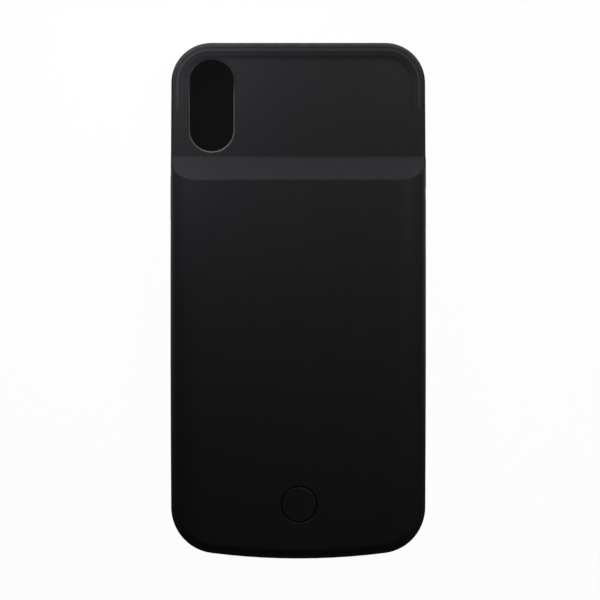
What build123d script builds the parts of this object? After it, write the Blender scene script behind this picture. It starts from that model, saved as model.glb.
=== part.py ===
"""Battery charging case: soft outer shell, inner cover, power button and the electronics inside."""

import os

from build123d import *

os.makedirs("parts", exist_ok=True)

# Device pocket and the walls round it
pocket_width = 76.2
pocket_length = 151.5
pocket_depth = 8.6
pocket_corner_radius = 10.6
pocket_edge_radius = 1.5
side_wall = 1.9
chin_length = 8.0
lip_thickness = 1.0
lip_overlap = 1.3
lip_edge_radius = 0.4
front_edge_radius = 1.0

# Back of the case: thin panel, ramp and hump
panel_thickness = 1.8
hump_wall = 1.2
ramp_foot_from_top = 36.1
ramp_length = 6.8
ramp_foot_radius = 2.2
shoulder_width = 9.0
shoulder_drop = 2.6
hump_roll_radius = 3.1
back_edge_radius = 0.9
bottom_corner_radius = 14.5
bottom_arc_radius = 213.0
side_bow = 0.34

# Shallow dish inside the rim of the thin panel
dish_depth = 0.36
dish_inset = 2.5
dish_slope_run = 2.7
dish_length = 23.7
dish_lead = 4.0
dish_foot_radius = 8.0

# Oblong window in the thin panel
window_width = 13.7
window_length = 28.7
window_from_side = 11.0
window_from_top = 17.75
window_edge_radius = 0.7

# Openings and key pads in the side walls and the chin
sound_slot_length = 12.0
sound_slot_height = 2.6
sound_slot_gap = 3.0
switch_opening_length = 11.0
switch_opening_height = 5.2
switch_opening_from_top = 26.0
key_pad_height = 3.6
key_pad_rise = 0.12
key_groove_width = 0.5
key_groove_depth = 0.4
key_relief_depth = 0.5
volume_pad_length = 10.0
volume_up_from_top = 39.0
volume_down_from_top = 51.4
power_pad_length = 15.0
power_pad_from_top = 46.9

# Inner cover and the battery bay behind it
cover_thickness = 0.9
cover_margin = 2.1
cover_corner_radius = 6.0
cover_clearance = 0.15
cover_edge_chamfer = 0.25
bay_ledge = 1.5
bay_edge_radius = 1.2
bay_from_crest = 1.3
chin_bay_width = 22.0
chin_back_wall = 1.7
chin_front_wall = 1.8
end_wall = 1.0

# Power button and its switch
button_diameter = 10.8
button_gap = 0.3
button_edge_radius = 0.25
button_from_bottom = 17.0
button_from_middle = 0.3
button_travel = 0.3
flange_width = 0.8
flange_thickness = 0.6
flange_clearance = 0.05
stem_diameter = 3.2
stem_length = 0.5
switch_size = 4.4
switch_height = 1.1
switch_floor = 0.2
switch_leg_length = 0.8
switch_leg_width = 0.7
switch_leg_thickness = 0.2
plunger_diameter = 2.2
plunger_rise = 0.35
plunger_gap = 0.15

# Main board, its bosses and screws
board_width = 54.0
board_length = 17.0
board_thickness = 0.8
board_underside_room = 1.0
board_tongue_margin = 1.5
board_clearance = 0.5
boss_diameter = 4.0
boss_inset = 3.5
screw_diameter = 1.4
screw_head_diameter = 2.6
screw_head_height = 0.6
screw_length = 2.6
screw_clearance = 0.02
screw_slot = 0.4

# Parts on the main board
inductor_size = 6.0
inductor_height = 2.0
inductor_core_diameter = 4.4
chip_height = 0.8
chip_chamfer = 0.15
charger_chip_size = 4.0
boost_chip_size = 3.0
controller_chip_length = 5.0
controller_chip_width = 4.4
capacitor_length = 2.0
capacitor_width = 1.25
capacitor_height = 1.1
light_length = 1.6
light_width = 0.8
light_height = 0.5
light_gap = 0.6

# Charging socket in the chin
socket_width = 8.94
socket_height = 3.16
socket_skin = 0.3
socket_recess = 0.3
socket_gap = 0.2
socket_hole_clearance = 0.15
socket_back_block = 1.4
socket_tongue_width = 6.7
socket_tongue_thickness = 0.7
socket_tongue_setback = 0.9
socket_contact_width = 0.25
socket_contact_thickness = 0.06
socket_contact_pitch = 0.5
socket_contact_count = 12

# Plug that stands in the pocket
plug_width = 6.7
plug_thickness = 1.5
plug_length = 6.6
plug_corner_radius = 1.3
plug_contact_width = 0.48
plug_contact_length = 3.0
plug_contact_thickness = 0.06
plug_contact_pitch = 0.72
plug_contact_count = 8
plug_contact_from_tip = 0.9
plug_base_width = 10.0
plug_base_height = 4.4
plug_base_length = 2.5
plug_collar_margin = 0.7
plug_collar_clearance = 0.1
plug_board_width = 16.0
plug_board_thickness = 0.8
plug_board_drop = 0.7
plug_board_ear_gap = 1.0

# Cell, its protection board and leads
cell_side_room = 3.5
cell_edge_radius = 1.2
cell_end_room = 1.0
cell_board_gap = 0.9
terrace_length = 4.0
terrace_thickness = 0.5
tape_thickness = 0.2
tape_length = 46.0
tape_width = 12.0
tape_spacing = 32.0
foam_thickness = 0.4
foam_width = 50.0
foam_length = 64.0
protection_board_length = 36.0
protection_board_margin = 0.2
protection_chip_length = 3.0
protection_chip_width = 2.0
protection_chip_spacing = 18.0
tab_width = 5.0
tab_thickness = 0.15
tab_spacing = 22.0
lead_diameter = 1.2
lead_spacing = 6.0
lead_rise = 1.0
lead_bend_radius = 0.7
lead_inset = 1.2

# Plan sizes worked out from those above
case_width = pocket_width + 2 * side_wall
case_length = pocket_length + side_wall + chin_length
half_width = case_width / 2
half_length = case_length / 2
top_corner_radius = pocket_corner_radius + side_wall
pocket_top = half_length - side_wall
pocket_end = pocket_top - pocket_length
pocket_middle = pocket_top - pocket_length / 2
past = 1.0

# Levels above the front rim worked out from those above
pocket_back = lip_thickness + pocket_depth
device_middle = lip_thickness + pocket_depth / 2
rim_level = pocket_back + panel_thickness
cover_level = pocket_back + cover_thickness
boss_height = switch_height + plunger_rise + stem_length + flange_thickness + flange_clearance
bay_depth = boss_height + board_thickness + board_underside_room
bay_ceiling = cover_level + bay_depth
hump_level = bay_ceiling + hump_wall
board_top = bay_ceiling - boss_height
board_bottom = board_top - board_thickness
socket_level = board_bottom - socket_height / 2

# Places in plan worked out from those above
ramp_foot = half_length - ramp_foot_from_top
crest = ramp_foot - ramp_length
cover_width = pocket_width - 2 * cover_margin
cover_south = pocket_end + cover_margin
bay_width = cover_width - 2 * bay_ledge
bay_south = cover_south + bay_ledge
bay_north = crest - bay_from_crest
cover_north = bay_north + bay_ledge
cover_middle = (cover_north + cover_south) / 2
cover_length = cover_north - cover_south
chin_inside = -half_length + chin_back_wall
end_wall_back = pocket_end - end_wall
window_x = window_from_side - pocket_width / 2
window_y = pocket_top - window_from_top
button_y = -half_length + button_from_bottom
button_hole_radius = button_diameter / 2 + button_gap
sound_slot_x = chin_bay_width / 2 + sound_slot_gap + sound_slot_length / 2
board_south = bay_south + board_clearance
board_north = board_south + board_length
board_middle = (board_south + board_north) / 2
boss_x = board_width / 2 - boss_inset
boss_places = [
    (-boss_x, board_south + boss_inset),
    (boss_x, board_south + boss_inset),
    (-boss_x, board_north - boss_inset),
    (boss_x, board_north - boss_inset),
]

# Outline of the case seen from the back: sides that bow out a little, round corners and a curved end
side_arc_radius = (half_length**2 + side_bow**2) / (2 * side_bow)
side_arc_x = side_arc_radius - half_width
with BuildSketch() as case_outline:
    Rectangle(case_width, case_length)
    with Locations((0, bottom_arc_radius - half_length)):
        Circle(bottom_arc_radius, mode=Mode.INTERSECT)
    for x in (-side_arc_x, side_arc_x):
        with Locations((x, 0)):
            Circle(side_arc_radius, mode=Mode.INTERSECT)
    fillet(case_outline.vertices().group_by(Axis.Y)[-1], top_corner_radius)
    fillet(case_outline.vertices().group_by(Axis.Y)[0], bottom_corner_radius)

# Tool for the shallow dish: gently sloping sides, a floor that curves up to nothing and a soft foot between
dish_foot = half_length - dish_length
dish_reach = dish_length - dish_inset - dish_slope_run
dish_radius = ((dish_lead + dish_reach) ** 2 - dish_lead**2) / (2 * dish_depth)
dish_axis = rim_level + dish_lead**2 / (2 * dish_radius) - dish_radius
dish_run = dish_slope_run / dish_depth
dish_south = dish_foot - dish_lead
with BuildPart() as dish_tool:
    for level in (0.9 * dish_inset / dish_run, -1.5 * dish_depth):
        inset = dish_inset - level * dish_run
        with BuildSketch(Plane.XY.offset(rim_level + level)) as dish_section:
            with Locations((0, (half_length - inset + dish_south) / 2)):
                Rectangle(case_width - 2 * inset, half_length - inset - dish_south)
            fillet(dish_section.vertices().group_by(Axis.Y)[-1], top_corner_radius - inset)
    loft(ruled=True)
    with Locations(Location((0, dish_south, dish_axis), (0, 90, 0))):
        Cylinder(dish_radius, case_width + 2 * past, mode=Mode.SUBTRACT)
    dish_floor = dish_tool.faces().sort_by(Axis.Z)[0]
    fillet(dish_floor.edges().sort_by(Axis.Y)[1:], dish_foot_radius)

# Tool for the device pocket and its mouth inside the front lip
with BuildPart() as pocket_tool:
    with BuildSketch(Plane.XY.offset(lip_thickness)):
        with Locations((0, pocket_middle)):
            RectangleRounded(pocket_width, pocket_length, pocket_corner_radius)
    extrude(amount=pocket_depth)
    fillet(pocket_tool.edges().group_by(Axis.Z)[-1], pocket_edge_radius)
    with BuildSketch(Plane.XY.offset(-past)):
        with Locations((0, pocket_middle)):
            RectangleRounded(
                pocket_width - 2 * lip_overlap,
                pocket_length - 2 * lip_overlap,
                pocket_corner_radius - lip_overlap,
            )
    extrude(amount=lip_thickness + past)

# Tool for the battery bay in the hump and for the seat of the inner cover
with BuildPart() as bay_tool:
    with BuildSketch(Plane.XY.offset(pocket_back - past)):
        with Locations((0, cover_middle)):
            RectangleRounded(bay_width, bay_north - bay_south, cover_corner_radius - bay_ledge)
    extrude(amount=bay_ceiling - pocket_back + past)
    fillet(bay_tool.edges().group_by(Axis.Z)[-1], bay_edge_radius)
    with BuildSketch(Plane.XY.offset(pocket_back - past)):
        with Locations((0, cover_middle)):
            RectangleRounded(
                cover_width + 2 * cover_clearance,
                cover_length + 2 * cover_clearance,
                cover_corner_radius + cover_clearance,
            )
    extrude(amount=cover_thickness + past)
    with BuildSketch(Plane.XY.offset(chin_front_wall)):
        with Locations((0, (bay_south + past + chin_inside) / 2)):
            Rectangle(chin_bay_width, bay_south + past - chin_inside)
    extrude(amount=bay_ceiling - chin_front_wall)

# Outer shell: the moulded back with its rolled shoulders, ramp, rim and chin
flat_half = half_width - shoulder_width
shoulder_radius = (shoulder_width**2 + shoulder_drop**2) / (2 * shoulder_drop)
shoulder_centre = hump_level - shoulder_radius
shoulder_low = hump_level - shoulder_drop - past / 100
ramp_slope = (hump_level - rim_level) / ramp_length
with BuildPart() as outer_shell:
    with BuildSketch(Plane.XZ) as hump_section:
        with Locations((0, (hump_level - past) / 2)):
            Rectangle(case_width + 2 * past, hump_level + past)
        with Locations((half_width, hump_level), (-half_width, hump_level)):
            Rectangle(2 * shoulder_width, 2 * shoulder_drop + 2 * past, mode=Mode.SUBTRACT)
        with Locations((flat_half, shoulder_centre), (-flat_half, shoulder_centre)):
            Circle(shoulder_radius)
        with Locations((0, hump_level / 2)):
            Rectangle(case_width + 2 * past, hump_level, mode=Mode.INTERSECT)
    extrude(amount=half_length + past, both=True)
    extrude(case_outline.sketch, amount=hump_level + past, mode=Mode.INTERSECT)
    top_edges = outer_shell.edges().filter_by(lambda edge: edge.center().Z > shoulder_low)
    seams = top_edges.filter_by(Axis.Y).filter_by(lambda edge: abs(edge.center().X) < half_width - past)
    fillet(top_edges - seams, hump_roll_radius)
    with BuildSketch(Plane.YZ):
        with BuildLine():
            ramp_top = (crest - past / ramp_slope, hump_level + past)
            panel_end = (half_length + past, rim_level)
            FilletPolyline(ramp_top, (ramp_foot, rim_level), panel_end, radius=ramp_foot_radius)
            Polyline(panel_end, (half_length + past, hump_level + past), ramp_top)
        make_face()
    extrude(amount=half_width + past, both=True, mode=Mode.SUBTRACT)
    low_back = outer_shell.faces().filter_by(
        lambda face: face.normal_at().Z > 0.5
        and face.center().Y > crest
        and face.bounding_box().size.X > 2 * flat_half
    )
    low_edges = [edge for face in low_back for edge in face.edges()]
    shared = [edge for edge in low_edges if sum(edge.is_same(other) for other in low_edges) > 1]
    fillet([edge for edge in low_edges if edge not in shared], back_edge_radius)
    fillet(outer_shell.edges().group_by(Axis.Z)[0], front_edge_radius)

    # Oblong window with a rounded border, and the dish that thins the border towards the top
    with BuildSketch(Plane.XY.offset(pocket_back - past)) as window_outline:
        with Locations((window_x, window_y)):
            SlotOverall(window_length, window_width, rotation=90)
    extrude(amount=panel_thickness + 2 * past, mode=Mode.SUBTRACT)
    panel = outer_shell.faces().filter_by(lambda face: abs(face.center().Z - rim_level) < past / 100)
    fillet(panel.sort_by(SortBy.AREA)[-1].inner_wires()[0].edges(), window_edge_radius)
    add(dish_tool.part, mode=Mode.SUBTRACT)

    # Pocket, lip and battery bay
    add(pocket_tool.part, mode=Mode.SUBTRACT)
    fillet(outer_shell.faces().sort_by(Axis.Z)[0].inner_wires()[0].edges(), lip_edge_radius)
    add(bay_tool.part, mode=Mode.SUBTRACT)

    # Bosses for the main board, with blind holes for the screws
    with BuildSketch(Plane.XY.offset(board_top)):
        with Locations(*boss_places):
            Circle(boss_diameter / 2)
    extrude(amount=boss_height + hump_wall / 3)
    with BuildSketch(Plane.XY.offset(board_top)):
        with Locations(*boss_places):
            Circle(screw_diameter / 2 + screw_clearance)
    extrude(amount=screw_length - board_thickness + screw_slot, mode=Mode.SUBTRACT)

    # Round hole for the button, with a softened edge
    with BuildSketch(Plane.XY.offset(bay_ceiling - past)):
        with Locations((button_from_middle, button_y)):
            Circle(button_hole_radius)
    extrude(amount=hump_wall + 2 * past, mode=Mode.SUBTRACT)
    hole_rims = outer_shell.edges().filter_by(GeomType.CIRCLE)
    fillet(hole_rims.filter_by(lambda edge: edge.center().Z > hump_level - past / 100), button_edge_radius)

    # Openings in the chin: charging socket in the middle, a sound slot on either side
    with BuildSketch(Plane.XZ.offset(half_length + past)):
        with Locations((0, socket_level)):
            SlotOverall(
                socket_width + 2 * socket_hole_clearance,
                socket_height + 2 * socket_hole_clearance,
            )
    extrude(amount=-chin_back_wall - 2 * past, mode=Mode.SUBTRACT)
    with BuildSketch(Plane.XZ.offset(half_length + past)):
        with Locations((-sound_slot_x, device_middle), (sound_slot_x, device_middle)):
            SlotOverall(sound_slot_length, sound_slot_height)
    extrude(amount=-chin_length - 2 * past, mode=Mode.SUBTRACT)

    # Opening for the slide switch of the device, through one side wall
    with BuildSketch(Plane.YZ.offset(half_width + past)):
        with Locations((pocket_top - switch_opening_from_top, device_middle)):
            SlotOverall(switch_opening_length, switch_opening_height)
    extrude(amount=-side_wall - 2 * past, mode=Mode.SUBTRACT)

    # Moulded key pads: a groove round each, a low raised face and a relief behind it
    for side, from_top, length in (
        (1, volume_up_from_top, volume_pad_length),
        (1, volume_down_from_top, volume_pad_length),
        (-1, power_pad_from_top, power_pad_length),
    ):
        wall_plane = Plane.YZ.offset(side * half_width)
        place = (pocket_top - from_top, device_middle)
        with BuildSketch(wall_plane):
            with Locations(place):
                SlotOverall(length + 2 * key_groove_width, key_pad_height + 2 * key_groove_width)
                SlotOverall(length, key_pad_height, mode=Mode.SUBTRACT)
        extrude(amount=-side * key_groove_depth, mode=Mode.SUBTRACT)
        with BuildSketch(wall_plane.offset(-side * key_groove_depth)):
            with Locations(place):
                SlotOverall(length, key_pad_height)
        extrude(amount=side * (key_groove_depth + key_pad_rise))
        with BuildSketch(Plane.YZ.offset(side * (pocket_width / 2 - past))):
            with Locations(place):
                SlotOverall(length, key_pad_height)
        extrude(amount=side * (past + key_relief_depth), mode=Mode.SUBTRACT)
    pads = outer_shell.faces().filter_by(Plane.YZ).filter_by(lambda face: abs(face.center().X) > half_width)
    fillet(pads.edges(), 0.8 * key_pad_rise)

outer_shell.part.label = "outer_shell"
export_step(outer_shell.part, "parts/outer_shell.step")

# Inner cover: hard plate that floors the pocket, with the wall that carries the plug at the chin
with BuildPart() as inner_cover:
    with BuildSketch(Plane.XY.offset(pocket_back)):
        with Locations((0, cover_middle)):
            RectangleRounded(cover_width, cover_length, cover_corner_radius)
    extrude(amount=cover_thickness)
    chamfer(inner_cover.edges().group_by(Axis.Z)[0], cover_edge_chamfer)
    tab_width_here = chin_bay_width - 2 * cover_clearance
    with BuildSketch(Plane.XY.offset(pocket_back)):
        with Locations((0, (cover_south + past + end_wall_back) / 2)):
            Rectangle(tab_width_here, cover_south + past - end_wall_back)
    extrude(amount=cover_thickness)
    with BuildSketch(Plane.XY.offset(chin_front_wall + cover_clearance)):
        with Locations((0, pocket_end - end_wall / 2)):
            Rectangle(tab_width_here, end_wall)
    extrude(amount=cover_level - chin_front_wall - cover_clearance)
    with BuildSketch(Plane.XZ.offset(-pocket_end - past)):
        with Locations((0, device_middle)):
            SlotOverall(
                plug_width + 2 * plug_collar_margin + 2 * plug_collar_clearance,
                plug_thickness + 2 * plug_collar_margin + 2 * plug_collar_clearance,
            )
    extrude(amount=end_wall + 2 * past, mode=Mode.SUBTRACT)

inner_cover.part.label = "inner_cover"
export_step(inner_cover.part, "parts/inner_cover.step")

# Power button: cap flush with the hump, retaining flange under the skin and a short stem
flange_top = bay_ceiling - flange_clearance
stem_top = flange_top - flange_thickness
stem_end = stem_top - stem_length
with BuildPart() as power_button:
    with BuildSketch(Plane.XY.offset(stem_top)):
        with Locations((button_from_middle, button_y)):
            Circle(button_diameter / 2)
    extrude(amount=hump_level - stem_top)
    fillet(power_button.edges().group_by(Axis.Z)[-1], button_edge_radius)
    with BuildSketch(Plane.XY.offset(stem_top)):
        with Locations((button_from_middle, button_y)):
            Circle(button_hole_radius + flange_width)
    extrude(amount=flange_thickness)
    with BuildSketch(Plane.XY.offset(stem_end)):
        with Locations((button_from_middle, button_y)):
            Circle(stem_diameter / 2)
    extrude(amount=stem_length)

power_button.part.label = "power_button"
export_step(power_button.part, "parts/power_button.step")

# Switch plunger: small pin between the stem and the switch
switch_top = board_top + switch_height
plunger_depth = switch_height - switch_floor - button_travel - plunger_gap
with BuildPart() as switch_plunger:
    with BuildSketch(Plane.XY.offset(switch_top - plunger_depth)):
        with Locations((button_from_middle, button_y)):
            Circle(plunger_diameter / 2)
    extrude(amount=plunger_depth + plunger_rise)

switch_plunger.part.label = "switch_plunger"
export_step(switch_plunger.part, "parts/switch_plunger.step")

# Tact switch: square body with a well for the plunger and four soldered legs
with BuildPart() as tact_switch:
    with BuildSketch(Plane.XY.offset(board_top)):
        with Locations((button_from_middle, button_y)):
            Rectangle(switch_size, switch_size)
    extrude(amount=switch_height)
    chamfer(tact_switch.edges().group_by(Axis.Z)[-1], switch_floor)
    with BuildSketch(Plane.XY.offset(board_top + switch_floor)):
        with Locations((button_from_middle, button_y)):
            Circle(plunger_diameter / 2 + plunger_gap)
    extrude(amount=switch_height, mode=Mode.SUBTRACT)
    with BuildSketch(Plane.XY.offset(board_top)):
        with Locations((button_from_middle, button_y)):
            with GridLocations(switch_size + switch_leg_length, switch_size - 2 * switch_leg_width, 2, 2):
                Rectangle(switch_leg_length, switch_leg_width)
    extrude(amount=switch_leg_thickness)

tact_switch.part.label = "tact_switch"
export_step(tact_switch.part, "parts/tact_switch.step")

# Main board: wide part in the hump and a tongue down into the chin
board_tongue_width = chin_bay_width - 2 * board_tongue_margin
board_tongue_end = chin_inside + board_clearance
with BuildPart() as main_board:
    with BuildSketch(Plane.XY.offset(board_bottom)) as board_outline:
        with Locations((0, board_middle)):
            Rectangle(board_width, board_length)
        with Locations((0, (board_tongue_end + board_middle) / 2)):
            Rectangle(board_tongue_width, board_middle - board_tongue_end)
        fillet(board_outline.vertices(), board_clearance)
        with Locations(*boss_places):
            Circle(screw_diameter / 2 + screw_clearance, mode=Mode.SUBTRACT)
    extrude(amount=board_thickness)

main_board.part.label = "main_board"
export_step(main_board.part, "parts/main_board.step")

# Board screws: four, driven from the pocket side into the bosses
with BuildPart() as board_screws:
    with BuildSketch(Plane.XY.offset(board_bottom - screw_head_height)):
        with Locations(*boss_places):
            Circle(screw_head_diameter / 2)
    extrude(amount=screw_head_height)
    with BuildSketch(Plane.XY.offset(board_bottom)):
        with Locations(*boss_places):
            Circle(screw_diameter / 2)
    extrude(amount=screw_length)
    with BuildSketch(Plane.XY.offset(board_bottom - screw_head_height)):
        with Locations(*boss_places):
            Rectangle(screw_diameter, screw_slot)
            Rectangle(screw_slot, screw_diameter)
    extrude(amount=screw_head_height / 2, mode=Mode.SUBTRACT)

board_screws.part.label = "board_screws"
export_step(board_screws.part, "parts/board_screws.step")

# Power inductor: square ferrite block with a round wound core showing on top
with BuildPart() as power_inductor:
    inductor_place = (-0.29 * board_width, board_middle - 0.12 * board_length)
    with BuildSketch(Plane.XY.offset(board_top)):
        with Locations(inductor_place):
            RectangleRounded(inductor_size, inductor_size, inductor_size / 8)
    extrude(amount=inductor_height)
    with BuildSketch(Plane.XY.offset(board_top + inductor_height)):
        with Locations(inductor_place):
            Circle(inductor_core_diameter / 2 + switch_floor)
            Circle(inductor_core_diameter / 2, mode=Mode.SUBTRACT)
    extrude(amount=-inductor_height / 4, mode=Mode.SUBTRACT)

power_inductor.part.label = "power_inductor"
export_step(power_inductor.part, "parts/power_inductor.step")

# Charger chip
with BuildPart() as charger_chip:
    with BuildSketch(Plane.XY.offset(board_top)):
        with Locations((0.3 * board_width, board_middle - 0.3 * board_length)):
            Rectangle(charger_chip_size, charger_chip_size)
    extrude(amount=chip_height)
    chamfer(charger_chip.edges().group_by(Axis.Z)[-1], chip_chamfer)

charger_chip.part.label = "charger_chip"
export_step(charger_chip.part, "parts/charger_chip.step")

# Boost chip
with BuildPart() as boost_chip:
    with BuildSketch(Plane.XY.offset(board_top)):
        with Locations((-0.3 * board_width, board_middle + 0.3 * board_length)):
            Rectangle(boost_chip_size, boost_chip_size)
    extrude(amount=chip_height)
    chamfer(boost_chip.edges().group_by(Axis.Z)[-1], chip_chamfer)

boost_chip.part.label = "boost_chip"
export_step(boost_chip.part, "parts/boost_chip.step")

# Controller chip
with BuildPart() as controller_chip:
    with BuildSketch(Plane.XY.offset(board_top)):
        with Locations((0.3 * board_width, board_middle + 0.15 * board_length)):
            Rectangle(controller_chip_length, controller_chip_width)
    extrude(amount=chip_height)
    chamfer(controller_chip.edges().group_by(Axis.Z)[-1], chip_chamfer)

controller_chip.part.label = "controller_chip"
export_step(controller_chip.part, "parts/controller_chip.step")

# Capacitors: small blocks with rounded ends, in pairs either side of the button
with BuildPart() as capacitors:
    with BuildSketch(Plane.XY.offset(board_top)):
        with Locations((0, board_middle)):
            with GridLocations(0.38 * board_width, 0.6 * board_length, 2, 2):
                RectangleRounded(capacitor_length, capacitor_width, capacitor_width / 6)
    extrude(amount=capacitor_height)

capacitors.part.label = "capacitors"
export_step(capacitors.part, "parts/capacitors.step")

# Indicator lights: four small lamps round the switch that show through the gap of the button
with BuildPart() as indicator_lights:
    light_x = switch_size / 2 + switch_leg_length + light_gap + light_width / 2
    light_y = switch_size / 2 - light_length / 2
    with BuildSketch(Plane.XY.offset(board_top)):
        with Locations((button_from_middle, button_y)):
            with GridLocations(2 * light_x, 2 * light_y + light_gap, 2, 2):
                Rectangle(light_width, light_length)
    extrude(amount=light_height)
    chamfer(indicator_lights.edges().group_by(Axis.Z)[-1], light_height / 5)

indicator_lights.part.label = "indicator_lights"
export_step(indicator_lights.part, "parts/indicator_lights.step")

# Charging socket: oblong steel shell under the board, open through the chin
socket_mouth = half_length - socket_recess
socket_rear = -end_wall_back + socket_gap
socket_length = socket_mouth - socket_rear
with BuildPart() as charge_socket:
    with BuildSketch(Plane.XZ.offset(socket_rear)):
        with Locations((0, socket_level)):
            SlotOverall(socket_width, socket_height)
    extrude(amount=socket_length)
    with BuildSketch(Plane.XZ.offset(socket_rear + socket_skin)):
        with Locations((0, socket_level)):
            SlotOverall(socket_width - 2 * socket_skin, socket_height - 2 * socket_skin)
    extrude(amount=socket_length, mode=Mode.SUBTRACT)

charge_socket.part.label = "charge_socket"
export_step(charge_socket.part, "parts/charge_socket.step")

# Socket tongue: moulded block at the back of the socket with the tongue that carries the contacts
tongue_root = socket_rear + socket_skin + socket_back_block
tongue_length = socket_mouth - socket_tongue_setback - tongue_root
with BuildPart() as socket_tongue:
    with BuildSketch(Plane.XZ.offset(socket_rear + socket_skin)):
        with Locations((0, socket_level)):
            SlotOverall(socket_width - 2 * socket_skin, socket_height - 2 * socket_skin)
    extrude(amount=socket_back_block)
    with BuildSketch(Plane.XZ.offset(tongue_root)):
        with Locations((0, socket_level)):
            Rectangle(socket_tongue_width, socket_tongue_thickness)
    extrude(amount=tongue_length)
    chamfer(socket_tongue.faces().sort_by(Axis.Y)[0].edges(), socket_tongue_thickness / 4)

socket_tongue.part.label = "socket_tongue"
export_step(socket_tongue.part, "parts/socket_tongue.step")

# Socket contacts: two rows of strips on the faces of the tongue
contact_level = (socket_tongue_thickness + socket_contact_thickness) / 2
with BuildPart() as socket_contacts:
    with BuildSketch(Plane.XZ.offset(tongue_root)):
        with Locations((0, socket_level - contact_level), (0, socket_level + contact_level)):
            with GridLocations(socket_contact_pitch, 0, socket_contact_count, 1):
                Rectangle(socket_contact_width, socket_contact_thickness)
    extrude(amount=0.8 * tongue_length)

socket_contacts.part.label = "socket_contacts"
export_step(socket_contacts.part, "parts/socket_contacts.step")

# Plug base: block behind the end wall, with a collar that fills the opening in the wall
base_rear = end_wall_back - plug_base_length
with BuildPart() as plug_base:
    with BuildSketch(Plane.XZ.offset(-end_wall_back)) as base_section:
        with Locations((0, device_middle)):
            RectangleRounded(plug_base_width, plug_base_height, plug_base_height / 6)
    extrude(amount=plug_base_length)
    with BuildSketch(Plane.XZ.offset(-pocket_end)):
        with Locations((0, device_middle)):
            SlotOverall(plug_width + 2 * plug_collar_margin, plug_thickness + 2 * plug_collar_margin)
    extrude(amount=end_wall)
    with BuildSketch(Plane.XZ.offset(-pocket_end - past)):
        with Locations((0, device_middle)):
            Rectangle(plug_width, plug_thickness)
    extrude(amount=plug_base_length + end_wall + 2 * past, mode=Mode.SUBTRACT)

plug_base.part.label = "plug_base"
export_step(plug_base.part, "parts/plug_base.step")

# Plug tongue: flat metal tongue held in the base, with a rounded tip in the pocket
plug_tip = pocket_end + plug_length
with BuildPart() as plug_tongue:
    with BuildSketch(Plane.XY.offset(device_middle - plug_thickness / 2)) as tongue_outline:
        with Locations((0, (plug_tip + base_rear) / 2)):
            Rectangle(plug_width, plug_tip - base_rear)
        fillet(tongue_outline.vertices().group_by(Axis.Y)[-1], plug_corner_radius)
    extrude(amount=plug_thickness)
    chamfer(plug_tongue.faces().sort_by(Axis.Y)[-1].edges(), plug_thickness / 8)

plug_tongue.part.label = "plug_tongue"
export_step(plug_tongue.part, "parts/plug_tongue.step")

# Plug contacts: a row of pads on either face of the tongue, near the tip
with BuildPart() as plug_contacts:
    for level in (
        device_middle - plug_thickness / 2 - plug_contact_thickness,
        device_middle + plug_thickness / 2,
    ):
        with BuildSketch(Plane.XY.offset(level)):
            with Locations((0, plug_tip - plug_contact_from_tip - plug_contact_length / 2)):
                with GridLocations(plug_contact_pitch, 0, plug_contact_count, 1):
                    RectangleRounded(plug_contact_width, plug_contact_length, plug_contact_width / 3)
        extrude(amount=plug_contact_thickness)

plug_contacts.part.label = "plug_contacts"
export_step(plug_contacts.part, "parts/plug_contacts.step")

# Plug board: upright board behind the base, with two ears that reach up to the main board
plug_board_low = device_middle - plug_base_height / 2 - plug_board_drop
plug_board_high = board_bottom - socket_height - socket_gap
ear_inside = socket_width / 2 + plug_board_ear_gap
with BuildPart() as plug_board:
    with BuildSketch(Plane.XZ.offset(-base_rear)):
        with Locations((0, (board_bottom + plug_board_low) / 2)):
            Rectangle(plug_board_width, board_bottom - plug_board_low)
        with Locations((0, board_bottom)):
            Rectangle(2 * ear_inside, 2 * (board_bottom - plug_board_high), mode=Mode.SUBTRACT)
    extrude(amount=plug_board_thickness)

plug_board.part.label = "plug_board"
export_step(plug_board.part, "parts/plug_board.step")

# Battery cell: flat pouch with soft edges and a thin sealed terrace at one end
cell_bottom = cover_level + foam_thickness
cell_top = bay_ceiling - tape_thickness
cell_width = bay_width - 2 * cell_side_room
cell_north = bay_north - cell_end_room
terrace_south = board_north + cell_board_gap
cell_south = terrace_south + terrace_length
cell_middle = (cell_north + cell_south) / 2
with BuildPart() as battery_cell:
    with BuildSketch(Plane.XY.offset(cell_bottom)):
        with Locations((0, cell_middle)):
            RectangleRounded(cell_width, cell_north - cell_south, 2 * cell_edge_radius)
    extrude(amount=cell_top - cell_bottom)
    fillet(battery_cell.edges().group_by(Axis.Z)[-1], cell_edge_radius)
    fillet(battery_cell.edges().group_by(Axis.Z)[0], cell_edge_radius / 2)
    with BuildSketch(Plane.XY.offset(cell_bottom + cell_edge_radius / 2)):
        with Locations((0, (cell_south + past + terrace_south) / 2)):
            Rectangle(cell_width - 4 * cell_edge_radius, terrace_length + past)
    extrude(amount=terrace_thickness)

battery_cell.part.label = "battery_cell"
export_step(battery_cell.part, "parts/battery_cell.step")

# Cell tabs: two nickel strips from the terrace to the protection board
terrace_top = cell_bottom + cell_edge_radius / 2 + terrace_thickness
protection_width = terrace_length - 2 * protection_board_margin
protection_middle = terrace_south + terrace_length / 2
with BuildPart() as cell_tabs:
    with BuildSketch(Plane.XY.offset(terrace_top)):
        with Locations((0, protection_middle)):
            with GridLocations(tab_spacing, 0, 2, 1):
                Rectangle(tab_width, protection_width)
    extrude(amount=tab_thickness)

cell_tabs.part.label = "cell_tabs"
export_step(cell_tabs.part, "parts/cell_tabs.step")

# Protection board: narrow strip lying on the tabs
protection_bottom = terrace_top + tab_thickness
protection_top = protection_bottom + board_thickness
with BuildPart() as protection_board:
    with BuildSketch(Plane.XY.offset(protection_bottom)):
        with Locations((0, protection_middle)):
            RectangleRounded(protection_board_length, protection_width, protection_board_margin)
    extrude(amount=board_thickness)

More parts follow.
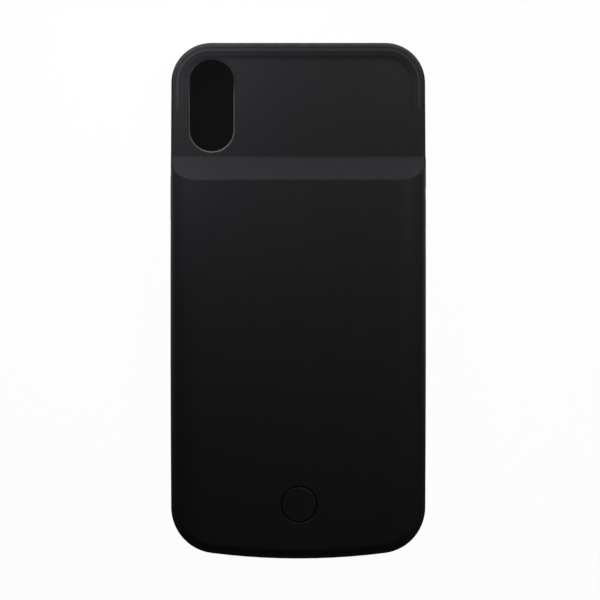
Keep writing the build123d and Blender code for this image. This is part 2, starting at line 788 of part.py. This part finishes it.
protection_board.part.label = "protection_board"
export_step(protection_board.part, "parts/protection_board.step")

# Protection chips: two on the strip
with BuildPart() as protection_chips:
    with BuildSketch(Plane.XY.offset(protection_top)):
        with Locations((0, protection_middle)):
            with GridLocations(protection_chip_spacing, 0, 2, 1):
                Rectangle(protection_chip_length, protection_chip_width)
    extrude(amount=chip_height)
    chamfer(protection_chips.edges().group_by(Axis.Z)[-1], chip_chamfer)

protection_chips.part.label = "protection_chips"
export_step(protection_chips.part, "parts/protection_chips.step")

# Leads: up from the strip, across the gap and down to the main board
lead_top = protection_top + lead_rise
lead_start = protection_middle
lead_end = board_north - lead_inset
with BuildPart() as red_lead:
    with BuildLine() as red_route:
        FilletPolyline(
            (-lead_spacing / 2, lead_start, protection_top),
            (-lead_spacing / 2, lead_start, lead_top),
            (-lead_spacing / 2, lead_end, lead_top),
            (-lead_spacing / 2, lead_end, board_top),
            radius=lead_bend_radius,
        )
    with BuildSketch(Plane.XY.offset(protection_top)):
        with Locations((-lead_spacing / 2, lead_start)):
            Circle(lead_diameter / 2)
    sweep()

red_lead.part.label = "red_lead"
export_step(red_lead.part, "parts/red_lead.step")

with BuildPart() as black_lead:
    with BuildLine() as black_route:
        FilletPolyline(
            (lead_spacing / 2, lead_start, protection_top),
            (lead_spacing / 2, lead_start, lead_top),
            (lead_spacing / 2, lead_end, lead_top),
            (lead_spacing / 2, lead_end, board_top),
            radius=lead_bend_radius,
        )
    with BuildSketch(Plane.XY.offset(protection_top)):
        with Locations((lead_spacing / 2, lead_start)):
            Circle(lead_diameter / 2)
    sweep()

black_lead.part.label = "black_lead"
export_step(black_lead.part, "parts/black_lead.step")

# Adhesive strips: two tapes between the cell and the inside of the hump
with BuildPart() as adhesive_strips:
    with BuildSketch(Plane.XY.offset(cell_top)):
        with Locations((0, cell_middle)):
            with GridLocations(tape_spacing, 0, 2, 1):
                Rectangle(tape_width, tape_length)
    extrude(amount=tape_thickness)

adhesive_strips.part.label = "adhesive_strips"
export_step(adhesive_strips.part, "parts/adhesive_strips.step")

# Foam pad: thin cushion between the inner cover and the cell
with BuildPart() as foam_pad:
    with BuildSketch(Plane.XY.offset(cover_level)):
        with Locations((0, cell_middle)):
            RectangleRounded(foam_width, foam_length, foam_thickness * 5)
    extrude(amount=foam_thickness)

foam_pad.part.label = "foam_pad"
export_step(foam_pad.part, "parts/foam_pad.step")
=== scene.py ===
import bpy
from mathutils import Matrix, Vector


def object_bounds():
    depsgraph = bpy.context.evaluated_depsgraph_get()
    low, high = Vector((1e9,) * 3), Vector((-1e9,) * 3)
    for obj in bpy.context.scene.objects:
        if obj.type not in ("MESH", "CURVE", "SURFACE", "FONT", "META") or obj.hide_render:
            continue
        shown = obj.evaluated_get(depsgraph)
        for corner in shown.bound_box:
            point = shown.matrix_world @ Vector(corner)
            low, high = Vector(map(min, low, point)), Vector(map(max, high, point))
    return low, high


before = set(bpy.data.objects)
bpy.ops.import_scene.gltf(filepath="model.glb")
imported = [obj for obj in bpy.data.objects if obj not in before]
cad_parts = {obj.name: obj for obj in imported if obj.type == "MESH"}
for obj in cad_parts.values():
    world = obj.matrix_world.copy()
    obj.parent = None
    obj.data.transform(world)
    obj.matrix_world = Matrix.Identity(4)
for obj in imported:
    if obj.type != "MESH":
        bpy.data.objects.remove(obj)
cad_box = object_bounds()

scene = bpy.context.scene
scene.view_settings.view_transform = "Standard"

# Outer shell: one soft-touch moulding in near-black filled plastic, with a very fine eroded grain.
# It wraps the whole case: rim, thin top panel with the window, ramp, hump and chin.
# Painted highlights show as paler lines on the rim and the window's edge and as a paler top edge, painted
# shade as a dark line by the window, and a little dust lies on it.


def node_material(name):
    """A new material, with its nodes, its links and its principled shader."""
    material = bpy.data.materials.new(name)
    material.use_nodes = True
    tree = material.node_tree
    return material, tree.nodes, tree.links, tree.nodes["Principled BSDF"]


def coordinates(nodes, links, scale):
    """Object coordinates, scaled from metres to a texture's own units."""
    coords = nodes.new("ShaderNodeTexCoord")
    mapping = nodes.new("ShaderNodeMapping")
    mapping.inputs["Scale"].default_value = (scale, scale, scale)
    links.new(coords.outputs["Object"], mapping.inputs["Vector"])
    return mapping.outputs["Vector"]


def noise(nodes, links, scale, detail=2.0, roughness=0.5):
    """Noise over the object, scale in features per metre."""
    texture = nodes.new("ShaderNodeTexNoise")
    texture.inputs["Scale"].default_value = 1.0
    texture.inputs["Detail"].default_value = detail
    texture.inputs["Roughness"].default_value = roughness
    links.new(coordinates(nodes, links, scale), texture.inputs["Vector"])
    return texture.outputs["Fac"]


def tones(nodes, links, value, low, dark, high, light):
    """Dark up to a low value, light from a high one, and all tones between."""
    node = nodes.new("ShaderNodeValToRGB")
    first, last = node.color_ramp.elements
    first.position = low
    first.color = (*dark, 1.0)
    last.position = high
    last.color = (*light, 1.0)
    links.new(value, node.inputs["Fac"])
    return node.outputs["Color"]


def spread(nodes, links, value, low, high):
    """A value from 0 to 1 spread from low to high."""
    node = nodes.new("ShaderNodeMapRange")
    node.inputs["To Min"].default_value = low
    node.inputs["To Max"].default_value = high
    links.new(value, node.inputs["Value"])
    return node.outputs["Result"]


def relief(nodes, links, shader, height, strength, depth):
    """A bump of this depth in metres, on top of whatever normal the shader already has."""
    bump = nodes.new("ShaderNodeBump")
    bump.inputs["Strength"].default_value = strength
    bump.inputs["Distance"].default_value = depth
    links.new(height, bump.inputs["Height"])
    for under in shader.inputs["Normal"].links:
        links.new(under.from_socket, bump.inputs["Normal"])
    links.new(bump.outputs["Normal"], shader.inputs["Normal"])


def paint(node, material):
    """Gives a CAD node this material."""
    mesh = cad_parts[node].data
    mesh.materials.clear()
    mesh.materials.append(material)
    for polygon in mesh.polygons:
        polygon.material_index = 0


def soft_touch(name, dark, light, rough):
    """Soft-touch black: fine grain, faint mottle in colour and sheen, and little shine."""
    mottle_scale = 90.0
    sheen_scale = 260.0
    sheen_range = 0.025
    grain_scale = 5200.0
    grain_strength = 0.12
    grain_depth = 0.00004
    material, nodes, links, shader = node_material(name)
    mottle = noise(nodes, links, mottle_scale, detail=4.0, roughness=0.6)
    colour = tones(nodes, links, mottle, low=0.3, dark=dark, high=0.7, light=light)
    links.new(colour, shader.inputs["Base Color"])
    sheen = noise(nodes, links, sheen_scale, detail=3.0)
    sheen = spread(nodes, links, sheen, rough - sheen_range, rough + sheen_range)
    links.new(sheen, shader.inputs["Roughness"])
    shader.inputs["IOR"].default_value = 1.45
    shader.inputs["Specular IOR Level"].default_value = 0.25
    relief(nodes, links, shader, noise(nodes, links, grain_scale), grain_strength, grain_depth)
    return material, nodes, links, shader


def axes(nodes, links, kind):
    """The X, Y and Z of one kind of texture coordinates."""
    parts = nodes.new("ShaderNodeSeparateXYZ")
    links.new(nodes.new("ShaderNodeTexCoord").outputs[kind], parts.inputs["Vector"])
    return parts.outputs


def arithmetic(nodes, links, operation, first, second):
    """One step of arithmetic between a value and another value or a number."""
    node = nodes.new("ShaderNodeMath")
    node.operation = operation
    links.new(first, node.inputs[0])
    if isinstance(second, float):
        node.inputs[1].default_value = second
    else:
        links.new(second, node.inputs[1])
    return node.outputs["Value"]


def plan_distance(nodes, links, centre, half):
    """Distance in plan from a rectangle of these half sizes round a centre."""
    value = nodes.new("ShaderNodeTexCoord").outputs["Object"]
    any_height = 1.0
    steps = (
        ("SUBTRACT", (*centre, 0.0)),
        ("ABSOLUTE", (0.0, 0.0, 0.0)),
        ("SUBTRACT", (*half, any_height)),
        ("MAXIMUM", (0.0, 0.0, 0.0)),
    )
    for operation, operand in steps:
        node = nodes.new("ShaderNodeVectorMath")
        node.operation = operation
        node.inputs[1].default_value = operand
        links.new(value, node.inputs[0])
        value = node.outputs["Vector"]
    length = nodes.new("ShaderNodeVectorMath")
    length.operation = "LENGTH"
    links.new(value, length.inputs[0])
    return length.outputs["Value"]


def smooth_step(nodes, links, value, start, end):
    """Zero on the start's side, one on the end's side, smooth between. The start may be the larger."""
    node = nodes.new("ShaderNodeMapRange")
    node.interpolation_type = "SMOOTHSTEP"
    node.inputs["From Min"].default_value = start
    node.inputs["From Max"].default_value = end
    links.new(value, node.inputs["Value"])
    return node.outputs["Result"]


def band(nodes, links, value, inner, outer, soft):
    """One between two distances, with soft edges."""
    rise = smooth_step(nodes, links, value, inner - soft, inner)
    fall = smooth_step(nodes, links, value, outer, outer + soft)
    return arithmetic(nodes, links, "SUBTRACT", rise, fall)


def add_share(nodes, links, socket, share, amount):
    """Adds a share of an amount to what already feeds a socket."""
    node = nodes.new("ShaderNodeVectorMath")
    node.operation = "MULTIPLY_ADD"
    node.inputs[1].default_value = amount
    links.new(share, node.inputs[0])
    links.new(socket.links[0].from_socket, node.inputs[2])
    links.new(node.outputs["Vector"], socket)


def specks(nodes, links, scale, radius):
    """Round specks where the surface cuts small balls scattered through the object, radius in metres."""
    edge = radius * scale
    core = 0.5 * edge
    texture = nodes.new("ShaderNodeTexVoronoi")
    texture.inputs["Scale"].default_value = 1.0
    links.new(coordinates(nodes, links, scale), texture.inputs["Vector"])
    return smooth_step(nodes, links, texture.outputs["Distance"], edge, core)


shell_black, nodes, links, shader = soft_touch(
    "soft_shell", dark=(0.0056, 0.0056, 0.0057), light=(0.0066, 0.0066, 0.0067), rough=0.55
)
base_colour = shader.inputs["Base Color"]
place = axes(nodes, links, "Object")
along = place["Y"]

# Rim of the shell: a painted highlight line along the crown, a low bead inside it, and a patchy painted
# highlight on the edge at the top end.
# The rim is moulded with the shell, and stops short of the ramp at both sides.
case_half_width = 0.04
case_top = cad_box[1][1]
corner_radius = 0.0125
corner_centre = (case_half_width - corner_radius, case_top - corner_radius)
rim_level = 0.0114
rim_fade_start = rim_level - 0.0016
rim_fade_end = rim_level - 0.0006
rim_end = 0.0603
rim_end_soft = 0.0008
crown_radius = corner_radius - 0.0022
crown_inner = crown_radius - 0.0002
crown_outer = crown_radius + 0.0002
crown_soft = 0.0004
crown_highlight_tone = (0.014, 0.014, 0.0142)
bead_radius = corner_radius - 0.004
bead_soft = 0.0012
bead_height = 0.00006
edge_highlight_start = corner_radius - 0.0017
edge_highlight_end = corner_radius - 0.0006
edge_highlight_along_start = 0.068
edge_highlight_along_end = 0.078
edge_highlight_scale = 400.0
edge_highlight_tone = (0.044, 0.044, 0.0445)
rim_away = plan_distance(nodes, links, (0.0, 0.0), corner_centre)
on_rim = smooth_step(nodes, links, place["Z"], rim_fade_start, rim_fade_end)
top_end = smooth_step(nodes, links, along, rim_end - rim_end_soft, rim_end + rim_end_soft)
on_rim = arithmetic(nodes, links, "MULTIPLY", on_rim, top_end)
# The crown line is a painted highlight: paler colour added along the rim's crown.
crown_highlight = band(nodes, links, rim_away, crown_inner, crown_outer, crown_soft)
crown_highlight = arithmetic(nodes, links, "MULTIPLY", crown_highlight, on_rim)
add_share(nodes, links, base_colour, crown_highlight, crown_highlight_tone)
bead = band(nodes, links, rim_away, bead_radius, bead_radius, bead_soft)
bead = arithmetic(nodes, links, "MULTIPLY", bead, on_rim)
relief(nodes, links, shader, bead, strength=1.0, depth=bead_height)
# The top edge gets a painted highlight: paler colour in patches along the edge at the top end.
edge_highlight = smooth_step(nodes, links, rim_away, edge_highlight_start, edge_highlight_end)
edge_highlight_along = smooth_step(nodes, links, along, edge_highlight_along_start, edge_highlight_along_end)
edge_highlight = arithmetic(nodes, links, "MULTIPLY", edge_highlight, edge_highlight_along)
edge_highlight = arithmetic(nodes, links, "MULTIPLY", edge_highlight, on_rim)
edge_highlight = arithmetic(nodes, links, "MULTIPLY", edge_highlight, noise(nodes, links, edge_highlight_scale, detail=3.0))
add_share(nodes, links, base_colour, edge_highlight, edge_highlight_tone)

# Dust on the shell: sparse pale specks, stronger on the thin panel than on the hump.
# Each is at most 0.4 mm across, and lies loose on the plastic.
dust_scale = 260.0
dust_radius = 0.0002
dust_tone = (0.04, 0.04, 0.0405)
dust_fade_start = 0.03
dust_fade_end = 0.045
hump_dust_share = 0.5
dust = specks(nodes, links, dust_scale, dust_radius)
on_panel = smooth_step(nodes, links, along, dust_fade_start, dust_fade_end)
dust_share = spread(nodes, links, on_panel, hump_dust_share, 1.0)
dust = arithmetic(nodes, links, "MULTIPLY", dust, dust_share)
add_share(nodes, links, base_colour, dust, dust_tone)

# Window edge of the shell: a polished border with a painted highlight line on it, and a painted shade line
# beside it.
# The border runs round the lower end and up both sides, and its painted highlight is brighter to the right.
window_centre = (-0.0271, 0.06105)
window_half_straight = 0.0075
window_radius = 0.00685
border_fade_start = 0.071
border_fade_end = 0.0615
border_outer = window_radius + 0.0003
border_soft = 0.0002
border_polish = 0.5
line_inner = window_radius - 0.0001
line_outer = window_radius + 0.00025
line_soft = 0.00015
highlight_line_tone = (0.068, 0.068, 0.069)
line_left_share = 0.5
line_right_share = 1.2
line_left = window_centre[0] - 0.007
line_right = window_centre[0] + 0.003
shade_line_inner = window_radius + 0.0005
shade_line_outer = window_radius + 0.00065
shade_line_soft = 0.00015
shade_line_tone = (-0.0054, -0.0054, -0.0055)
window_away = plan_distance(nodes, links, window_centre, (0.0, window_half_straight))
lower_border = smooth_step(nodes, links, along, border_fade_start, border_fade_end)
border = band(nodes, links, window_away, window_radius, border_outer, border_soft)
border = arithmetic(nodes, links, "MULTIPLY", border, lower_border)
links.new(arithmetic(nodes, links, "MULTIPLY", border, border_polish), shader.inputs["Coat Weight"])
# The paler line is a painted highlight, added to the border's colour and stronger to the right.
highlight_line = band(nodes, links, window_away, line_inner, line_outer, line_soft)
highlight_line = arithmetic(nodes, links, "MULTIPLY", highlight_line, lower_border)
to_right = smooth_step(nodes, links, place["X"], line_left, line_right)
highlight_line_share = spread(nodes, links, to_right, line_left_share, line_right_share)
highlight_line = arithmetic(nodes, links, "MULTIPLY", highlight_line, highlight_line_share)
add_share(nodes, links, base_colour, highlight_line, highlight_line_tone)
# The dark line is painted shade, taken off the colour just outside the border.
shade_line = band(nodes, links, window_away, shade_line_inner, shade_line_outer, shade_line_soft)
add_share(nodes, links, base_colour, shade_line, shade_line_tone)
shader.inputs["Coat Roughness"].default_value = 0.2
shader.inputs["Coat IOR"].default_value = 1.5
paint("outer_shell", shell_black)

# Power button: round cap of the same soft-touch plastic, flush in its hole near the chin.
# It is held by a flange under the skin and rests on the switch plunger.
button_black = soft_touch(
    "button_cap", dark=(0.0058, 0.0058, 0.006), light=(0.007, 0.007, 0.0073), rough=0.53
)[0]
paint("power_button", button_black)

# Inner cover: hard black plate that floors the pocket, with the wall at the chin that carries the plug.
# Moulded with a fine spark-eroded texture and seated on a ledge of the shell.
cover_black = soft_touch("hard_cover", dark=(0.014, 0.014, 0.015), light=(0.02, 0.02, 0.021), rough=0.42)[0]
paint("inner_cover", cover_black)

# Plug and charging socket: steel tongue with gold pads in a black base, and a drawn steel socket shell.
# The plug stands in the pocket, the socket opens through the chin, and both are soldered to their boards.


def metal(name, colour, rough, mark_scale):
    """Metal with fine marks in its polish."""
    dark_share = 0.85
    smoother = 0.06
    rougher = 0.08
    mark_strength = 0.1
    mark_depth = 0.00002
    material, nodes, links, shader = node_material(name)
    marks = noise(nodes, links, mark_scale, detail=5.0, roughness=0.7)
    dark = tuple(dark_share * channel for channel in colour)
    polish = tones(nodes, links, marks, low=0.25, dark=dark, high=0.75, light=colour)
    links.new(polish, shader.inputs["Base Color"])
    links.new(spread(nodes, links, marks, rough - smoother, rough + rougher), shader.inputs["Roughness"])
    shader.inputs["Metallic"].default_value = 1.0
    relief(nodes, links, shader, marks, mark_strength, mark_depth)
    return material


def moulding(name, dark, light, rough):
    """Plain moulded plastic with a slight mottle."""
    mottle_scale = 700.0
    sheen_range = 0.05
    grain_scale = 6000.0
    grain_strength = 0.1
    grain_depth = 0.00003
    material, nodes, links, shader = node_material(name)
    mottle = noise(nodes, links, mottle_scale, detail=3.0)
    colour = tones(nodes, links, mottle, low=0.3, dark=dark, high=0.7, light=light)
    links.new(colour, shader.inputs["Base Color"])
    sheen = spread(nodes, links, mottle, rough - sheen_range, rough + sheen_range)
    links.new(sheen, shader.inputs["Roughness"])
    relief(nodes, links, shader, noise(nodes, links, grain_scale), grain_strength, grain_depth)
    return material


steel = metal("steel", colour=(0.56, 0.57, 0.58), rough=0.32, mark_scale=900.0)
gold = metal("gold", colour=(0.83, 0.63, 0.28), rough=0.24, mark_scale=1500.0)
connector_black = moulding("socket_black", dark=(0.02, 0.02, 0.02), light=(0.032, 0.032, 0.034), rough=0.45)
paint("plug_tongue", steel)
paint("charge_socket", steel)
paint("plug_contacts", gold)
paint("socket_contacts", gold)
paint("plug_base", connector_black)
paint("socket_tongue", connector_black)

# Boards: green solder mask over copper, in the hump, on the cell and upright in the chin.
# The main board is screwed to four bosses of the shell and carries the parts below.


def board(name):
    """Solder mask in two greens, with darker lines between its fields."""
    field_scale = 420.0
    gap_share = 0.03
    gap_strength = 0.2
    gap_depth = 0.00003
    sheen_scale = 800.0
    material, nodes, links, shader = node_material(name)
    fields = nodes.new("ShaderNodeTexBrick")
    fields.inputs["Color1"].default_value = (0.012, 0.09, 0.04, 1.0)
    fields.inputs["Color2"].default_value = (0.016, 0.12, 0.05, 1.0)
    fields.inputs["Mortar"].default_value = (0.008, 0.055, 0.026, 1.0)
    fields.inputs["Scale"].default_value = 1.0
    fields.inputs["Mortar Size"].default_value = gap_share
    links.new(coordinates(nodes, links, field_scale), fields.inputs["Vector"])
    links.new(fields.outputs["Color"], shader.inputs["Base Color"])
    sheen = spread(nodes, links, noise(nodes, links, sheen_scale), low=0.25, high=0.38)
    links.new(sheen, shader.inputs["Roughness"])
    relief(nodes, links, shader, fields.outputs["Fac"], gap_strength, gap_depth)
    return material


board_green = board("board_green")
paint("main_board", board_green)
paint("plug_board", board_green)
paint("protection_board", board_green)
paint("board_screws", steel)

# Parts on the boards: moulded chips, sintered inductor, glazed capacitors, small lamps and the tact switch.
# All are soldered flat to the boards, and a pale plunger stands on the switch, under the button.
chip_black = moulding("chip_black", dark=(0.018, 0.018, 0.02), light=(0.03, 0.03, 0.032), rough=0.5)
ferrite = moulding("ferrite", dark=(0.06, 0.06, 0.065), light=(0.1, 0.1, 0.105), rough=0.6)
capacitor_tan = moulding("capacitor_tan", dark=(0.34, 0.24, 0.14), light=(0.46, 0.33, 0.2), rough=0.35)
lamp_white = moulding("lamp_white", dark=(0.78, 0.77, 0.7), light=(0.88, 0.87, 0.82), rough=0.2)
switch_body = moulding("switch_body", dark=(0.03, 0.03, 0.034), light=(0.045, 0.045, 0.05), rough=0.35)
pale_plastic = moulding("pale_plastic", dark=(0.55, 0.53, 0.48), light=(0.66, 0.64, 0.58), rough=0.4)
for chip in ("charger_chip", "boost_chip", "controller_chip", "protection_chips"):
    paint(chip, chip_black)
paint("power_inductor", ferrite)
paint("capacitors", capacitor_tan)
paint("indicator_lights", lamp_white)
paint("tact_switch", switch_body)
paint("switch_plunger", pale_plastic)

# Cell: flat pouch in aluminium foil with nickel tabs, taped to the inside of the hump.
# A foam pad on the cover presses it, and two insulated leads take it to the main board.
cell_foil = metal("cell_foil", colour=(0.6, 0.61, 0.63), rough=0.38, mark_scale=160.0)
nickel = metal("nickel", colour=(0.66, 0.64, 0.6), rough=0.3, mark_scale=1200.0)
lead_red = moulding("lead_red", dark=(0.42, 0.012, 0.012), light=(0.55, 0.02, 0.02), rough=0.4)
lead_black = moulding("lead_black", dark=(0.014, 0.014, 0.014), light=(0.024, 0.024, 0.024), rough=0.4)
tape_yellow = moulding("tape_yellow", dark=(0.68, 0.54, 0.18), light=(0.78, 0.64, 0.26), rough=0.5)
foam_grey = moulding("foam_grey", dark=(0.1, 0.1, 0.105), light=(0.17, 0.17, 0.175), rough=0.9)
paint("battery_cell", cell_foil)
paint("cell_tabs", nickel)
paint("red_lead", lead_red)
paint("black_lead", lead_black)
paint("adhesive_strips", tape_yellow)
paint("foam_pad", foam_grey)

# Stage: a plain floor, white in the picture, and dark under the case so that the window looks dark.
# It is clear from below, so that the pocket is seen and gets light, except close to the window.
# What the shell mirrors of it is dimmer towards the chin.


def seen_rays(nodes, links, path):
    """One for rays from the camera or through glass."""
    return arithmetic(nodes, links, "MAXIMUM", path["Is Camera Ray"], path["Is Transmission Ray"])


floor_half_side = 3.0
floor_gap = 0.0001
shade_centre = (0.0, 0.001)
shade_half = (0.0275, 0.0672)
shade_radius = 0.012
shade_soft = 0.0002
shade_tone = (0.003, 0.003, 0.003)
shade_glow = (0.0056, 0.0056, 0.0056)
floor_tone = (0.9, 0.9, 0.9)
floor_glow = (1.0, 1.0, 1.0)
glow_share = 0.97
mirror_start = -0.08
mirror_end = 0.04
chin_mirror = 0.05
clear_start = 0.01
clear_end = 0.018
floor_mesh = bpy.data.meshes.new("floor")
floor_corners = [
    (-floor_half_side, -floor_half_side, 0.0),
    (floor_half_side, -floor_half_side, 0.0),
    (floor_half_side, floor_half_side, 0.0),
    (-floor_half_side, floor_half_side, 0.0),
]
floor_mesh.from_pydata(floor_corners, [], [(0, 1, 2, 3)])
floor = bpy.data.objects.new("floor", floor_mesh)
floor.location.z = -floor_gap
scene.collection.objects.link(floor)
floor_white, nodes, links, shader = node_material("floor_white")
shader.inputs["Roughness"].default_value = 0.9
case_away = plan_distance(nodes, links, shade_centre, shade_half)
open_floor = smooth_step(nodes, links, case_away, shade_radius - shade_soft, shade_radius + shade_soft)
floor_colour = tones(nodes, links, open_floor, low=0.0, dark=shade_tone, high=1.0, light=floor_tone)
links.new(floor_colour, shader.inputs["Base Color"])
glow = nodes.new("ShaderNodeEmission")
glow_colour = tones(nodes, links, open_floor, low=0.0, dark=shade_glow, high=1.0, light=floor_glow)
links.new(glow_colour, glow.inputs["Color"])
path = nodes.new("ShaderNodeLightPath").outputs
seen = seen_rays(nodes, links, path)
towards_top = smooth_step(nodes, links, axes(nodes, links, "Object")["Y"], mirror_start, mirror_end)
mirrored = spread(nodes, links, towards_top, chin_mirror, 1.0)
mirrored = arithmetic(nodes, links, "MULTIPLY", mirrored, path["Is Glossy Ray"])
links.new(arithmetic(nodes, links, "MAXIMUM", seen, mirrored), glow.inputs["Strength"])
glowing = arithmetic(nodes, links, "MULTIPLY", seen, glow_share)
glowing = arithmetic(nodes, links, "MAXIMUM", glowing, path["Is Glossy Ray"])
solid = nodes.new("ShaderNodeMixShader")
links.new(glowing, solid.inputs["Fac"])
links.new(shader.outputs["BSDF"], solid.inputs[1])
links.new(glow.outputs["Emission"], solid.inputs[2])
window_away = plan_distance(nodes, links, window_centre, (0.0, window_half_straight))
clear_floor = smooth_step(nodes, links, window_away, clear_start, clear_end)
clear_floor = arithmetic(nodes, links, "SUBTRACT", clear_floor, open_floor)
clear_floor = arithmetic(nodes, links, "SUBTRACT", clear_floor, seen)
from_below = nodes.new("ShaderNodeNewGeometry").outputs["Backfacing"]
clear = nodes.new("ShaderNodeMixShader")
links.new(arithmetic(nodes, links, "MAXIMUM", clear_floor, from_below), clear.inputs["Fac"])
links.new(solid.outputs["Shader"], clear.inputs[1])
links.new(nodes.new("ShaderNodeBsdfTransparent").outputs["BSDF"], clear.inputs[2])
links.new(clear.outputs["Shader"], nodes["Material Output"].inputs["Surface"])
floor_mesh.materials.append(floor_white)

# Light: soft lamps above the right, low beyond the top end and close by the window's corner.
# Round them stand pale walls, bright near the floor and dark overhead, and the picture shows them white.
# More white light comes up from below the floor.


def area_light(name, place, size, power, colour):
    """A soft rectangular lamp aimed at the thin end of the case."""
    thin_end = Vector((0.0, 0.02, 0.012))
    lamp = bpy.data.lights.new(name, "AREA")
    lamp.shape = "RECTANGLE"
    lamp.size, lamp.size_y = size
    lamp.energy = power
    lamp.color = colour
    holder = bpy.data.objects.new(name, lamp)
    holder.location = place
    aim = thin_end - Vector(place)
    holder.rotation_euler = aim.to_track_quat("-Z", "Y").to_euler()
    scene.collection.objects.link(holder)


white = (1.0, 1.0, 1.0)
cool = (0.94, 0.97, 1.0)
violet = (0.91, 0.88, 1.0)
deep_violet = (0.87, 0.86, 1.0)
area_light("overhead", place=(0.12, 0.14, 0.2), size=(0.1, 0.1), power=0.301, colour=white)
area_light("low_left", place=(-0.11, 0.28, 0.07), size=(0.14, 0.06), power=0.089, colour=cool)
area_light("low_right", place=(0.06, 0.28, 0.07), size=(0.2, 0.06), power=0.2, colour=violet)
area_light("close_left", place=(-0.07, 0.08, 0.1), size=(0.06, 0.06), power=0.0582, colour=deep_violet)
area_light("corner_left", place=(-0.06, 0.1, 0.07), size=(0.04, 0.04), power=0.0332, colour=deep_violet)

wall_strength = 0.5
ceiling_strength = 0.015
ceiling_rise = 0.35
below_strength = 1.0
below_start = -0.1
below_end = -0.02
world = bpy.data.worlds.new("studio")
scene.world = world
world.use_nodes = True
nodes = world.node_tree.nodes
links = world.node_tree.links
rise = axes(nodes, links, "Generated")["Z"]
upward = smooth_step(nodes, links, rise, 0.0, ceiling_rise)
walls = spread(nodes, links, upward, wall_strength, ceiling_strength)
above_floor = smooth_step(nodes, links, rise, below_start, below_end)
below = spread(nodes, links, above_floor, below_strength, 0.0)
lit = arithmetic(nodes, links, "MAXIMUM", walls, below)
seen = seen_rays(nodes, links, nodes.new("ShaderNodeLightPath").outputs)
background = nodes["Background"]
background.inputs["Color"].default_value = (*white, 1.0)
links.new(arithmetic(nodes, links, "MAXIMUM", seen, lit), background.inputs["Strength"])

# Camera: straight down on the back of the case, with a long lens and a square picture.
# The window end is at the top, and the width is taken at the level between thin panel and hump.
camera_distance = 1.4
camera_level = 0.013
picture_width = 0.1876
picture_middle = (0.00056, 0.00015)
sensor_side = 36.0
camera_data = bpy.data.cameras.new("camera")
camera_data.sensor_width = sensor_side
camera_data.sensor_height = sensor_side
camera_data.sensor_fit = "HORIZONTAL"
camera_data.lens = sensor_side * camera_distance / picture_width
camera_data.clip_end = 20.0
camera = bpy.data.objects.new("camera", camera_data)
camera.location = (*picture_middle, camera_level + camera_distance)
scene.collection.objects.link(camera)
scene.camera = camera
